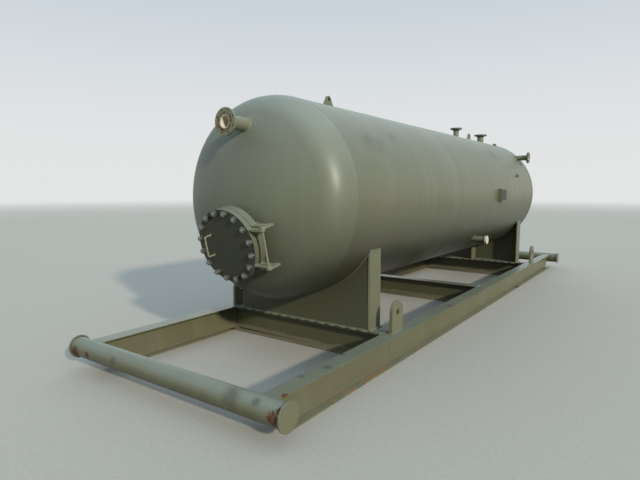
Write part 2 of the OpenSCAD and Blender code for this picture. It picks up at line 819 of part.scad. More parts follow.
shell();
front_head();
rear_head();
manway_neck();
manway_flange();
manway_gasket();
manway_cover();
cover_handle();
cover_hinge_arms();
hinge_pin();
hinge_lugs();
cover_studs();
cover_nuts();
flange_studs();
flange_nuts();
front_nozzle_neck();
front_nozzle_flange();
top_nozzle_necks();
top_nozzle_flanges();
side_nozzle_neck();
side_nozzle_flange();
couplings();
lifting_lugs();
nameplate_bracket();
nameplate();
drain_pipe();
drain_cap();
front_saddle_web();
front_saddle_ribs();
front_saddle_base();
rear_saddle_web();
rear_saddle_ribs();
rear_saddle_base();
left_beam();
right_beam();
front_cross_beam();
middle_cross_beam();
rear_cross_beam();
front_pull_pipe();
rear_pull_pipe();
pipe_end_discs();
padeyes();
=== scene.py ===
"""Looks of a horizontal pressure tank on a welded skid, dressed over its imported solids."""

import random
from math import asin, cos, pi, radians, sin, sqrt, tan

import bpy
from mathutils import Matrix, Vector, noise


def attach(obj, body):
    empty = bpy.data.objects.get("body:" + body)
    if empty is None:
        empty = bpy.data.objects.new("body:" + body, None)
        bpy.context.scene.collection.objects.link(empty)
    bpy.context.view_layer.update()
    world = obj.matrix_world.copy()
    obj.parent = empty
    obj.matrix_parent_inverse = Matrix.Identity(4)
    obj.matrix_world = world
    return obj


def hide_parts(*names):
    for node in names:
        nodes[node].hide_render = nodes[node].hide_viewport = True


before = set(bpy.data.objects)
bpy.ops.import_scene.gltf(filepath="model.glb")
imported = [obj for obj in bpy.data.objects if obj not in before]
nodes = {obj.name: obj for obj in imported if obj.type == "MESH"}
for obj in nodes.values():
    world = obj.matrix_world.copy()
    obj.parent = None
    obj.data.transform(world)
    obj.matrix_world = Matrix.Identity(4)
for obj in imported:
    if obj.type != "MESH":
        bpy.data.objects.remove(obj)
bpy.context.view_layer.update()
scene = bpy.context.scene
random.seed(11)

# Camera. It stands at eye height to the right of the manway end, where the photograph was taken
# from, and looks along the tank and a little down.
photo_camera = bpy.data.objects.new("photo_camera", bpy.data.cameras.new("photo_camera"))
photo_camera.location = (-6.517, -3.011, 1.578)
photo_camera.rotation_euler = (radians(84.08), 0.0, radians(-54.54))
photo_camera.data.sensor_width = 36.0
photo_camera.data.lens = 27.79
scene.collection.objects.link(photo_camera)
scene.camera = photo_camera


# Studio. A pale floor runs out into a pale sky that turns grey-blue overhead, and a low, soft sun
# shines past the right side towards the far end, the way that the shadows fall in the photograph.
def linear(colour):
    """An sRGB hex colour as the linear colour that a shader takes."""
    parts = [int(colour[i : i + 2], 16) / 255 for i in (1, 3, 5)]
    return [p / 12.92 if p <= 0.04045 else ((p + 0.055) / 1.055) ** 2.4 for p in parts] + [1.0]


def add(tree, kind, sockets=(), **settings):
    """Adds a shader node, makes its settings, and fills its inputs with values or links."""
    made = tree.nodes.new("ShaderNode" + kind)
    for name, value in settings.items():
        setattr(made, name, value)
    for name, value in dict(sockets).items():
        if isinstance(value, bpy.types.NodeSocket):
            tree.links.new(value, made.inputs[name])
        else:
            made.inputs[name].default_value = value
    return made


def cloud(tree, place, scale, detail=2.0, roughness=0.5):
    """Noise between 0 and 1, with about as many patches to the metre as its scale."""
    sockets = {"Vector": place, "Scale": scale, "Detail": detail, "Roughness": roughness}
    return add(tree, "TexNoise", sockets).outputs["Fac"]


def ramp(tree, value, start, end, low=0.0, high=1.0, smooth=False):
    """Maps a value between start and end to one between low and high, with eased ends if smooth."""
    sockets = {"Value": value, "From Min": start, "From Max": end, "To Min": low, "To Max": high}
    kind = "SMOOTHSTEP" if smooth else "LINEAR"
    return add(tree, "MapRange", sockets, interpolation_type=kind).outputs["Result"]


def mix(tree, mask, one, two):
    """Two colours mixed by a mask. Each is a hex text, a linear colour or a socket."""
    one, two = (linear(colour) if isinstance(colour, str) else colour for colour in (one, two))
    return add(tree, "Mix", {0: mask, 6: one, 7: two}, data_type="RGBA").outputs[2]


def maths(tree, operation, *values):
    """One operation on numbers."""
    return add(tree, "Math", enumerate(values), operation=operation).outputs[0]


def vectors(tree, operation, *values):
    """One operation on vectors, which gives a vector or, for a length or a product, a number."""
    made = add(tree, "VectorMath", enumerate(values), operation=operation)
    return made.outputs["Vector" if operation == "SUBTRACT" else "Value"]


def new_material(name):
    """A new material and its empty node tree."""
    material = bpy.data.materials.new(name)
    material.use_nodes = True
    material.node_tree.nodes.clear()
    return material, material.node_tree


def seen_rays(tree):
    """1 for the rays that show a surface or the sky, and 0 for those that only light the part."""
    path = add(tree, "LightPath").outputs
    seen = maths(tree, "MAXIMUM", path["Is Camera Ray"], path["Is Glossy Ray"])
    return maths(tree, "MAXIMUM", seen, path["Is Transmission Ray"])


FLOOR_HALF = 80.0
FLOOR_Z = -0.001
SKY_EDGE = "#e3e5e5"
floor_corners = [(x * FLOOR_HALF, y * FLOOR_HALF, FLOOR_Z) for x, y in ((-1, -1), (1, -1), (1, 1), (-1, 1))]
floor_mesh = bpy.data.meshes.new("studio_floor")
floor_mesh.from_pydata(floor_corners, [], [(0, 1, 2, 3)])
studio_floor = bpy.data.objects.new("studio_floor", floor_mesh)
scene.collection.objects.link(studio_floor)
floor_material, tree = new_material("matt_floor_paint")
place = add(tree, "TexCoord").outputs["Object"]
fade = ramp(tree, vectors(tree, "LENGTH", place), 22.0, 70.0, smooth=True)
tone = mix(tree, cloud(tree, place, 30.0, 6.0), "#b6b0a3", "#c6c0b3")
tone = mix(tree, seen_rays(tree), "#4f4c44", tone)
matt = add(tree, "BsdfPrincipled", {"Base Color": tone, "Roughness": 0.9, "Specular IOR Level": 0.1})
far = add(tree, "Emission", {"Color": linear(SKY_EDGE), "Strength": 1.0})
mixed = add(tree, "MixShader", {0: fade, 1: matt.outputs[0], 2: far.outputs[0]})
add(tree, "OutputMaterial", {"Surface": mixed.outputs[0]})
floor_mesh.materials.append(floor_material)

world = bpy.data.worlds.new("studio_sky")
world.use_nodes = True
tree = world.node_tree
tree.nodes.clear()
up = add(tree, "SeparateXYZ", {0: add(tree, "TexCoord").outputs["Generated"]}).outputs["Z"]
rise = ramp(tree, up, 0.02, 0.7, smooth=True)
sky = mix(tree, rise, SKY_EDGE, "#a0b8cc")
fill = ramp(tree, rise, 0.0, 1.0, 0.15, 1.40)
strength = add(tree, "Mix", {0: seen_rays(tree), 2: fill, 3: 1.0}).outputs[0]
light = add(tree, "Background", {"Color": sky, "Strength": strength})
add(tree, "OutputWorld", {"Surface": light.outputs[0]})
scene.world = world


def sun_lamp(name, energy, spread, colour, way):
    """A lamp as far off as the sun, spread degrees wide, that shines one way."""
    lamp = bpy.data.objects.new(name, bpy.data.lights.new(name, "SUN"))
    lamp.data.energy = energy
    lamp.data.angle = radians(spread)
    lamp.data.color = colour
    lamp.rotation_euler = Vector(way).to_track_quat("-Z", "Y").to_euler()
    scene.collection.objects.link(lamp)


# The second lamp is weak and wide: from beyond the far left corner, it keeps the shaded sides
# readable.
sun_lamp("low_sun", 2.5, 3.0, (1.0, 0.94, 0.84), (0.369, 0.881, -0.39))
sun_lamp("fill_lamp", 0.75, 60.0, (0.93, 0.96, 1.0), (-0.8, -0.6, -0.28))
scene.view_settings.view_transform = "Standard"


# Shell and heads. Rolled and pressed carbon steel plate, welded up and sprayed with a two-part
# enamel: it gives a smooth olive-grey gloss with a faint orange peel, dust with a painted sky light on
# the upper side, a painted shade on the underside, and thin pale runs down the sides. The inside is
# bare plate with a bloom of rust.
AXIS_Z = 1.487
TANK_R = 0.927
TANGENT_X = 3.048
TANK_MIDDLE = (0.0, 0.0, AXIS_Z)
OLIVE = ("#6a6b54", "#74755d")
OLIVE_PALE = "#8b8c74"
DUST_AND_SKY_SHEEN = "#939d93"
UNDERSIDE_SHADE = "#26271b"
SMUDGE_AND_PAINTED_SHADOW = ("#3f4136", "#55574a")
RUST = ("#3e2a1f", "#7b543a")
BARE_PLATE = ("#453e36", "#6d4a35")
SHELL_RUNS = (7.0, 0.6, 0.6)
HEAD_RUNS = (0.6, 7.0, 0.5)
FITTING_RUNS = (5.0, 5.0, 0.6)


def inside(middle):
    """A mask of the surfaces that face a point."""
    def mask(tree):
        coords = add(tree, "TexCoord").outputs
        off = vectors(tree, "SUBTRACT", coords["Object"], middle)
        return maths(tree, "LESS_THAN", vectors(tree, "DOT_PRODUCT", off, coords["Normal"]), 0.0)
    return mask


def from_line(tree, start, way):
    """Sockets for a point's distance along a line and for its vector away from the line."""
    place = add(tree, "TexCoord").outputs["Object"]
    off = vectors(tree, "SUBTRACT", place, start)
    along = vectors(tree, "DOT_PRODUCT", off, way)
    foot = add(tree, "VectorMath", {0: way, "Scale": along}, operation="SCALE").outputs["Vector"]
    return along, vectors(tree, "SUBTRACT", off, foot)


def bores(*lines):
    """A mask of the surfaces that face any of the lines, each with its greatest radius."""
    def mask(tree):
        normal = add(tree, "TexCoord").outputs["Normal"]
        found = 0.0
        for start, way, most in lines:
            away = from_line(tree, start, way)[1]
            inward = maths(tree, "LESS_THAN", vectors(tree, "DOT_PRODUCT", away, normal), -0.00002)
            within = maths(tree, "LESS_THAN", vectors(tree, "LENGTH", away), most)
            found = maths(tree, "MAXIMUM", maths(tree, "MULTIPLY", inward, within), found)
        return found
    return mask


def spots(*places, ragged=28.0, low=0.24, high=0.3, most=1.0):
    """A ragged mask round places, each with its radius in metres; low and high set how crisp it is."""
    def mask(tree):
        place = add(tree, "TexCoord").outputs["Object"]
        torn = cloud(tree, place, ragged, 8.0, 0.75)
        near = 0.0
        for spot, spread in places:
            worn = ramp(tree, vectors(tree, "DISTANCE", place, spot), spread, 0.0)
            near = maths(tree, "MAXIMUM", worn, near)
        near = maths(tree, "MULTIPLY", near, torn)
        return ramp(tree, near, low, high, 0.0, most, smooth=True)
    return mask


def bumps(tree, height, strength, distance, **under):
    """A height turned into bumps, distance metres high at most."""
    sockets = {"Strength": strength, "Distance": distance, "Height": height, **under}
    return add(tree, "Bump", sockets).outputs[0]


def surface(tree, colour, roughness, bump, metallic=0.0, specular=0.5):
    """Ends a material's tree with its surface."""
    skin = add(tree, "BsdfPrincipled", {"Base Color": colour, "Roughness": roughness, "Normal": bump,
                                        "Metallic": metallic, "Specular IOR Level": specular})
    add(tree, "OutputMaterial", {"Surface": skin.outputs[0]})


def enamel(name, colours, runs, pale=OLIVE_PALE, dust_and_sky_sheen=0.5, underside_shade=0.0, gloss=0.3, layers=()):
    """Sprayed enamel. runs stretches the noise of its streaks; layers are (mask, two colours, roughness)."""
    material, tree = new_material(name)
    coords = add(tree, "TexCoord").outputs
    place = coords["Object"]
    base = mix(tree, ramp(tree, cloud(tree, place, 0.9, 5.0, 0.6), 0.3, 0.7), *colours)
    # Broad streaks hang down the sides, about 0.15 m apart, with thin dried runs 16 mm apart.
    for finer, low, most in ((1.0, 0.5, 0.16), (9.0, 0.63, 0.3)):
        width = [r if r < 2.0 else r * finer for r in runs]
        hung = add(tree, "Mapping", {"Vector": place, "Scale": width}).outputs[0]
        streak = ramp(tree, cloud(tree, hung, 1.0, 3.0), low, low + 0.18, 0.0, most, smooth=True)
        base = mix(tree, streak, base, pale)
    # Dust settles where the surface looks up, in patches about 0.3 m across; its blue-grey tone there is also
    # a painted sky light.
    facing = add(tree, "SeparateXYZ", {0: coords["Normal"]}).outputs["Z"]
    upward = ramp(tree, facing, -0.1, 0.95, 0.0, dust_and_sky_sheen, smooth=True)
    patch = ramp(tree, cloud(tree, place, 3.0, 8.0, 0.7), 0.25, 0.7, 0.6)
    dust_and_sheen = maths(tree, "MULTIPLY", upward, patch)
    base = mix(tree, dust_and_sheen, base, DUST_AND_SKY_SHEEN)
    # Painted shade: what looks down is darkened towards a dark olive.
    shaded_underside = ramp(tree, facing, 0.1, -0.8, 0.0, underside_shade, smooth=True)
    base = mix(tree, shaded_underside, base, UNDERSIDE_SHADE)
    rough = ramp(tree, dust_and_sheen, 0.0, 1.0, gloss, gloss + 0.3)
    for mask_of, pair, roughness in layers:
        mask = mask_of(tree)
        grain = ramp(tree, cloud(tree, place, 45.0, 8.0, 0.7), 0.3, 0.7)
        base = mix(tree, mask, base, mix(tree, grain, *pair))
        rough = add(tree, "Mix", {0: mask, 2: rough, 3: roughness}).outputs[0]
    # Orange peel is about 4 mm from crest to crest, and the plate itself waves over about 0.7 m.
    peel = cloud(tree, place, 240.0)
    wave = cloud(tree, place, 1.4, 1.0)
    bump = bumps(tree, wave, 0.12, 0.012)
    surface(tree, base, rough, bumps(tree, peel, 0.12, 0.0004, Normal=bump), specular=0.4)
    return material


def dress(name, material, edge_mm=0.0):
    """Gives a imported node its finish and, where edge_mm says so, rounds its sharp edges."""
    part = nodes[name]
    part.data.materials.clear()
    part.data.materials.append(material)
    if edge_mm:
        part.data.shade_smooth()
        joined = part.modifiers.new("joined_corners", "WELD")
        joined.merge_threshold = 0.00002
        rounded = part.modifiers.new("rounded_edges", "BEVEL")
        rounded.width = edge_mm / 1000
        rounded.segments = 2
        rounded.limit_method = "ANGLE"
        rounded.angle_limit = radians(40)
        flat = part.modifiers.new("flat_faces", "WEIGHTED_NORMAL")
        flat.keep_sharp = True


TANK_INSIDE = (inside(TANK_MIDDLE), BARE_PLATE, 0.7)
# Dark marks on the right shoulder: smudges, and in part a painted shadow of the front lifting lug.
shoulder_smudges_and_lug_shadow = spots(((-2.62, -0.77, 2.01), 0.22), ((-2.45, -0.80, 1.97), 0.20),
                      ((-2.05, -0.72, 2.09), 0.16), ((1.30, -0.70, 2.11), 0.24),
                      ragged=9.0, low=0.08, high=0.6, most=0.4)
shell_enamel = enamel("olive_enamel_on_rolled_plate", OLIVE, SHELL_RUNS, underside_shade=0.75, gloss=0.36,
                      layers=[(shoulder_smudges_and_lug_shadow, SMUDGE_AND_PAINTED_SHADOW, 0.5), TANK_INSIDE])
# The heads take a paler, greyer olive than the shell and more of the upper tone, as a painted sky light.
sky_lit_head_enamel = enamel("paler_olive_enamel_as_painted_sky_light_on_heads", ("#717460", "#7b7e69"), HEAD_RUNS, dust_and_sky_sheen=0.95,
                     underside_shade=0.75, gloss=0.36, layers=[TANK_INSIDE])
dress("shell", shell_enamel)
dress("front_head", sky_lit_head_enamel)
dress("rear_head", sky_lit_head_enamel)
# A sliver at each head's pole bends the shading round it. Its edges are set sharp, so that the
# corners at the pole can take their true normal.
SLIVER_AREA = 1e-7
POLE_R = 0.001
for name in ("front_head", "rear_head"):
    mesh = nodes[name].data
    normals = [corner.vector.copy() for corner in mesh.corner_normals]
    for face in mesh.polygons:
        if face.area < SLIVER_AREA:
            for corner in face.loop_indices:
                mesh.edges[mesh.loops[corner].edge_index].use_edge_sharp = True
    for loop, normal in zip(mesh.loops, normals):
        point = mesh.vertices[loop.vertex_index].co
        if sqrt(point.y**2 + (point.z - AXIS_Z) ** 2) < POLE_R:
            normal[:] = (1.0 if normal.x > 0 else -1.0, 0.0, 0.0)
    mesh.normals_split_custom_set(normals)


# Seam welds of the shell and heads. Submerged-arc beads, brushed and painted over: five courses
# of plate meet in girth welds, each course has one long seam near the top, and a wider bead joins
# each head. Real ripples are about 3 mm apart, and these are drawn at 24 mm so that they show.
COURSE = 2 * TANGENT_X / 5
HEAD_WELD_X = 3.042


def make_piece(name, verts, faces, material, slot="tank_paint", body="tank_and_skid", smooth=True):
    """A new mesh piece that rides on a body and takes the material that it is given; slot is not used."""
    mesh = bpy.data.meshes.new(name)
    mesh.from_pydata([tuple(v) for v in verts], [], faces)
    mesh.validate()
    mesh.materials.append(material)
    mesh.polygons.foreach_set("use_smooth", [smooth] * len(mesh.polygons))
    piece = bpy.data.objects.new(name, mesh)
    scene.collection.objects.link(piece)
    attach(piece, body)
    return piece


def beads(paths, width, height, step=0.006, ripple=0.024, sides=6):
    """Weld beads along paths of (point, outward). A path that ends where it starts is a ring."""
    verts, faces = [], []
    for path in paths:
        points = [Vector(p) for p, _ in path]
        outs = [Vector(o).normalized() for _, o in path]
        closed = (points[0] - points[-1]).length < 1e-6
        rows, gone = [], 0.0
        for here, there, out, next_out in zip(points, points[1:], outs, outs[1:]):
            stretch = there - here
            count = max(1, round(stretch.length / step))
            for k in range(count):
                rows.append((here + stretch * (k / count), out.lerp(next_out, k / count).normalized(),
                             stretch.normalized(), gone + stretch.length * k / count))
            gone += stretch.length
        if not closed:
            rows.append((points[-1], outs[-1], (points[-1] - points[-2]).normalized(), gone))
        first = len(verts)
        for point, out, way, run in rows:
            side = way.cross(out).normalized()
            swell = sin(2 * pi * run / ripple)
            wander = noise.noise(point * 9.0)
            taper = 1.0 if closed else min(1.0, 0.5 + 40 * min(run, gone - run))
            half = width / 2 * (1 + 0.05 * swell + 0.16 * wander) * taper
            tall = height * (1 + 0.14 * swell + 0.2 * wander) * taper
            for k in range(sides + 1):
                turn = pi * k / sides
                verts.append(point + side * half * cos(turn) + out * (tall * sin(turn) - 0.15 * height))
        across = sides + 1
        for a in range(len(rows) - (not closed)):
            b = (a + 1) % len(rows)
            for k in range(sides):
                faces.append((first + a * across + k, first + b * across + k,
                              first + b * across + k + 1, first + a * across + k + 1))
        if not closed:
            faces.append(tuple(first + k for k in range(across)))
            faces.append(tuple(first + (len(rows) - 1) * across + k for k in range(across))[::-1])
    return verts, faces


def girth(x, count=144):
    """A ring round the shell at x, as a path for a bead."""
    ring = []
    for i in range(count + 1):
        turn = 2 * pi * (i % count) / count
        out = Vector((0.0, sin(turn), cos(turn)))
        ring.append((Vector((x, 0.0, AXIS_Z)) + out * TANK_R, out))
    return ring


def along_shell(start, end, degrees):
    """A line along the shell between two x, some degrees from its top towards the left side."""
    out = Vector((0.0, sin(radians(degrees)), cos(radians(degrees))))
    return [(Vector((x, 0.0, AXIS_Z)) + out * TANK_R, out) for x in (start, end)]


girths = [girth(COURSE * (k - 1.5)) for k in range(4)]
long_seams = [along_shell(COURSE * (k - 2.5), COURSE * (k - 1.5), 24 if k % 2 else -20) for k in range(5)]
head_seams = [girth(-HEAD_WELD_X), girth(HEAD_WELD_X)]
weld_enamel = enamel("olive_enamel_over_welds", OLIVE, SHELL_RUNS, underside_shade=0.75, gloss=0.36)
make_piece("shell_girth_welds", *beads(girths, 0.015, 0.0016, step=0.008), weld_enamel)
make_piece("shell_long_welds", *beads(long_seams, 0.013, 0.0016), weld_enamel)
make_piece("head_welds", *beads(head_seams, 0.02, 0.0024, step=0.008), weld_enamel)


# Manway neck and flange. A rolled 18 in neck is welded through the head and a forged flange onto
# its end, all sprayed with the same enamel. The neck's inside is bare plate with a bloom of rust.
TILT = radians(13.3)
UP_FACE = Vector((-sin(TILT), 0.0, cos(TILT)))
OUTWARD = Vector((-cos(TILT), 0.0, -sin(TILT)))
MANWAY_MIDDLE = Vector((-3.5796, 0.0, 1.1139))
NECK_R = 0.2286
NECK_BORE_R = 0.22
HUB_END = -0.0946
CROWN_R = 1.8 * TANK_R
KNUCKLE_R = 0.34 * TANK_R
CROWN_DROP = (CROWN_R - KNUCKLE_R) * cos(asin((TANK_R - KNUCKLE_R) / (CROWN_R - KNUCKLE_R)))
CROWN_MIDDLE = Vector((CROWN_DROP - TANGENT_X, 0.0, AXIS_Z))
SHELL_MIDDLE = Vector(TANK_MIDDLE)


def at_manway(x, y, z):
    """A point given from the manway's middle: up its face, to its left and out from it."""
    return MANWAY_MIDDLE + UP_FACE * x + Vector((0.0, y, 0.0)) + OUTWARD * z


def where(start, way, crown=False):
    """Where a line meets the front head's crown or the shell on its way out, and the outward there."""
    middle, keep, reach = ((CROWN_MIDDLE, Vector((1, 1, 1)), CROWN_R) if crown
                           else (SHELL_MIDDLE, Vector((0, 1, 1)), TANK_R))
    off, flat = (start - middle) * keep, way * keep
    a, b, c = flat.length_squared, off.dot(flat), off.length_squared - reach**2
    point = start + way * ((sqrt(b * b - a * c) - b) / a)
    return point, ((point - middle) * keep).normalized()


def round_pipe(start, way, radius, crown=False, flat=False, count=60):
    """The ring where a pipe's outside meets the crown, the shell or a flat face across it."""
    start, way = Vector(start), Vector(way).normalized()
    first = way.orthogonal().normalized()
    second = way.cross(first)
    ring = []
    for i in range(count + 1):
        turn = 2 * pi * (i % count) / count
        radial = first * cos(turn) + second * sin(turn)
        point, out = (start + radial * radius, way) if flat else where(start + radial * radius, way, crown)
        ring.append((point, out + radial))
    return ring


neck_bore = bores((tuple(MANWAY_MIDDLE), tuple(OUTWARD), NECK_BORE_R))
flange_enamel = enamel("olive_enamel_on_manway_forging", OLIVE, FITTING_RUNS, dust_and_sky_sheen=0.35,
                       layers=[(neck_bore, BARE_PLATE, 0.75)])
dress("manway_neck", flange_enamel)
dress("manway_flange", flange_enamel, 1.5)
manway_joints = [round_pipe(MANWAY_MIDDLE, OUTWARD, NECK_R, crown=True),
                 round_pipe(at_manway(0, 0, HUB_END), -OUTWARD, NECK_R, flat=True)]
make_piece("manway_welds", *beads(manway_joints, 0.018, 0.008), weld_enamel)


# Gasket and cover. A ring of pressed fibre lies on the raised face, and a forged blind cover closes
# the manway: its rim is olive like the tank, its front is darkened as a painted shade, and its raised
# face bare.
gasket_fibre, tree = new_material("pressed_fibre_gasket")
fibre = cloud(tree, add(tree, "TexCoord").outputs["Object"], 160.0, 6.0, 0.7)
tint = mix(tree, fibre, "#1f201d", "#34352f")
surface(tree, tint, 0.85, bumps(tree, fibre, 0.3, 0.0004))
dress("manway_gasket", gasket_fibre)


def behind(*lines):
    """A mask of what lies behind a plane across a line and within a radius of it."""
    def mask(tree):
        found = 0.0
        for start, way, most in lines:
            along, away = from_line(tree, start, way)
            within = maths(tree, "LESS_THAN", vectors(tree, "LENGTH", away), most)
            back = maths(tree, "LESS_THAN", along, 0.0)
            found = maths(tree, "MAXIMUM", maths(tree, "MULTIPLY", within, back), found)
        return found
    return mask


# The cover's front is darkened as a painted shade.
COVER_FRONT_SHADE = ("#373929", "#404231")
TURNED_STEEL = ("#77736b", "#9a958a")
COVER_BACK, RAISED_FACE_R = 0.0037, 0.2666
COVER_FRONT, COVER_FRONT_R = 0.0560, 0.3165
cover_back = behind((tuple(at_manway(0, 0, COVER_BACK)), tuple(OUTWARD), RAISED_FACE_R))
cover_front = behind((tuple(at_manway(0, 0, COVER_FRONT)), tuple(-OUTWARD), COVER_FRONT_R))
cover_enamel = enamel("olive_enamel_on_forged_cover", OLIVE, FITTING_RUNS, dust_and_sky_sheen=0.35,
                      layers=[(cover_front, COVER_FRONT_SHADE, 0.4), (cover_back, TURNED_STEEL, 0.45)])
dress("manway_cover", cover_enamel, 2.5)


# Studs and nuts. Zinc-plated rod with a rolled thread of 8 to the inch, and heavy hexagon nuts
# with chamfered corners, each left at its own angle: they are the brightest things on the end.
def turned(spots, profile, sides=20):
    """Round pieces, one per (point, way): a profile of (radius, distance) turned about way."""
    verts, faces = [], []
    for point, way in spots:
        way = Vector(way).normalized()
        one = way.orthogonal().normalized()
        two = way.cross(one)
        first = len(verts)
        for radius, high in profile:
            for k in range(sides):
                turn = 2 * pi * k / sides
                verts.append(Vector(point) + way * high + (one * cos(turn) + two * sin(turn)) * radius)
        for row in range(len(profile) - 1):
            for k in range(sides):
                a, b = first + row * sides + k, first + row * sides + (k + 1) % sides
                faces.append((a, b, b + sides, a + sides))
        faces.append(tuple(first + k for k in range(sides))[::-1])
        faces.append(tuple(first + (len(profile) - 1) * sides + k for k in range(sides)))
    return verts, faces


def threaded(low, high, radius=0.0143, pitch=0.003175):
    """The profile of a threaded rod with chamfered ends."""
    profile = [(radius - 0.0025, low)]
    for k in range(1, int((high - low) / pitch * 2)):
        profile.append((radius if k % 2 else radius - 0.0017, low + k * pitch / 2))
    return profile + [(radius - 0.0025, high)]


def hex_nuts(spots, high=0.028, flats=0.046, bore=0.0144, samples=48):
    """Hexagon nuts that stand on (point, way), with both ends chamfered at 30 degrees."""
    verts, faces = [], []
    inner, lip = flats / 2 * 0.95, 0.0015
    for point, way in spots:
        one = way.orthogonal().normalized()
        one.rotate(Matrix.Rotation(random.uniform(0.0, pi / 3), 3, way))
        two = way.cross(one)
        rows = [[] for _ in range(8)]
        for k in range(samples):
            turn = 2 * pi * k / samples
            hexagon = flats / 2 / cos((turn + pi / 6) % (pi / 3) - pi / 6)
            cut = max(0.0, hexagon - inner) * tan(radians(30))
            radial = one * cos(turn) + two * sin(turn)
            profile = ((bore, lip), (bore + lip, 0.0), (inner, 0.0), (hexagon, cut),
                       (hexagon, high - cut), (inner, high), (bore + lip, high), (bore, high - lip))
            for row, (radius, rise) in zip(rows, profile):
                row.append(point + radial * radius + way * rise)
        first = len(verts)
        verts += [v for row in rows for v in row]
        for row in range(8):
            for k in range(samples):
                next_k = (k + 1) % samples
                low_row, high_row = first + row * samples, first + (row + 1) % 8 * samples
                faces.append((low_row + k, low_row + next_k, high_row + next_k, high_row + k))
    return verts, faces


zinc, tree = new_material("bright_zinc_plating")
bloom = cloud(tree, add(tree, "TexCoord").outputs["Object"], 70.0, 6.0, 0.7)
bloom = ramp(tree, bloom, 0.35, 0.7)
tint = mix(tree, bloom, "#abaca3", "#65675f")
rough = ramp(tree, bloom, 0.0, 1.0, 0.25, 0.5)
surface(tree, tint, rough, bumps(tree, bloom, 0.15, 0.0003), metallic=0.85)

STUD_CIRCLE_R = 0.28895
COVER_FACE, FLANGE_BACK = 0.0567, -0.066
circle = [2 * pi * (i + 0.5) / 16 for i in range(16)]
holes = [(STUD_CIRCLE_R * cos(turn), STUD_CIRCLE_R * sin(turn)) for turn in circle]
stud_feet = [(at_manway(x, y, 0.0), OUTWARD) for x, y in holes]
cover_seats = [(at_manway(x, y, COVER_FACE), OUTWARD) for x, y in holes]
flange_seats = [(at_manway(x, y, FLANGE_BACK), -OUTWARD) for x, y in holes]
cover_studs = make_piece("cover_threaded_studs", *turned(stud_feet, threaded(0.0033, 0.0967)),
                         zinc, slot="stud_zinc", body="cover", smooth=False)
flange_studs = make_piece("flange_threaded_studs", *turned(stud_feet, threaded(-0.106, 0.003)),
                          zinc, slot="stud_zinc", smooth=False)
cover_nuts = make_piece("cover_hexagon_nuts", *hex_nuts(cover_seats),
                        zinc, slot="stud_zinc", body="cover", smooth=False)
flange_nuts = make_piece("flange_hexagon_nuts", *hex_nuts(flange_seats),
                         zinc, slot="stud_zinc", smooth=False)
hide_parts("cover_studs")
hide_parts("flange_studs")
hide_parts("cover_nuts")
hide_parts("flange_nuts")


# Handle, hinge arms, pin and lugs. Bent bar and flame-cut plate, welded to the rims and the cover
# with small fillets and painted with the rest; their colour is made paler as a painted highlight of
# their sunlit edges.
RIM_R = 0.3175
ARM_UP, LUG_UP, PLATE_HALF = 0.152, 0.169, 0.008
HANDLE_UP, HANDLE_LEFT = 0.088, 0.168
pin_rust = spots((tuple(at_manway(0.177, -0.412, 0.027)), 0.03),
                 (tuple(at_manway(-0.185, -0.412, 0.027)), 0.04), ragged=60.0)
bar_enamel_with_painted_highlight = enamel("olive_enamel_paled_as_painted_highlight_on_bar", ("#85866d", "#909178"), FITTING_RUNS, "#9c9d85", dust_and_sky_sheen=0.2,
                    layers=[(pin_rust, RUST, 0.8)])
dress("cover_handle", bar_enamel_with_painted_highlight)
dress("cover_hinge_arms", bar_enamel_with_painted_highlight, 1.2)
dress("hinge_pin", bar_enamel_with_painted_highlight)
dress("hinge_lugs", bar_enamel_with_painted_highlight, 1.2)


def rim_joint(up, side, face, ends):
    """A joint across a rim, down one face of a plate that stands on the rim's right side."""
    x = side * up + face * PLATE_HALF
    y = -sqrt(RIM_R**2 - x * x)
    return [(at_manway(x, y, z), UP_FACE * face - Vector((0.0, 1.0, 0.0))) for z in ends]


cover_joints = [round_pipe(at_manway(side * HANDLE_UP, HANDLE_LEFT, COVER_FACE), OUTWARD, 0.008,
                           flat=True, count=24) for side in (-1, 1)]
lug_joints = []
for side in (-1, 1):
    for face in (-1, 1):
        cover_joints.append(rim_joint(ARM_UP, side, face, (0.009, 0.052)))
        lug_joints.append(rim_joint(LUG_UP, side, face, (-0.064, -0.004)))
make_piece("cover_fitting_welds", *beads(cover_joints, 0.009, 0.004, step=0.002, ripple=0.008), bar_enamel_with_painted_highlight,
           slot="cover_paint", body="cover")
make_piece("hinge_lug_welds", *beads(lug_joints, 0.012, 0.006, step=0.003, ripple=0.012), bar_enamel_with_painted_highlight)


# Nozzles. Pipe necks with forged slip-on flanges: the neck is olive like the tank, the bore has a
# cream lining whose cream is made brighter as a painted highlight, and the raised face has rusted to
# a red ring inside the circle of bolt holes.
PIPE_3IN_R, FACE_3IN_R = 0.04445, 0.0635
PIPE_4IN_R, FACE_4IN_R = 0.05715, 0.0786
HUB_DEPTH = 0.0239 + 0.022
NOZZLES = {  # its face, the way that it looks, and the radii of its pipe and raised face
    "front": ((-3.630, 0.0, 2.124), (-1.0, 0.0, 0.0), PIPE_4IN_R, FACE_4IN_R),
    "top_small": ((1.618, 0.0, 2.582), (0.0, 0.0, 1.0), PIPE_3IN_R, FACE_3IN_R),
    "top_large": ((2.890, 0.0, 2.582), (0.0, 0.0, 1.0), PIPE_4IN_R, FACE_4IN_R),
    "side": ((2.765, -0.905, 2.120), (0.0, -1.0, 0.0), PIPE_3IN_R, FACE_3IN_R),
}


def ragged(mask_of):
    """A mask torn into patches by noise."""
    def mask(tree):
        place = add(tree, "TexCoord").outputs["Object"]
        torn = ramp(tree, cloud(tree, place, 55.0, 6.0), 0.42, 0.52, 0.1)
        return maths(tree, "MULTIPLY", mask_of(tree), torn)
    return mask


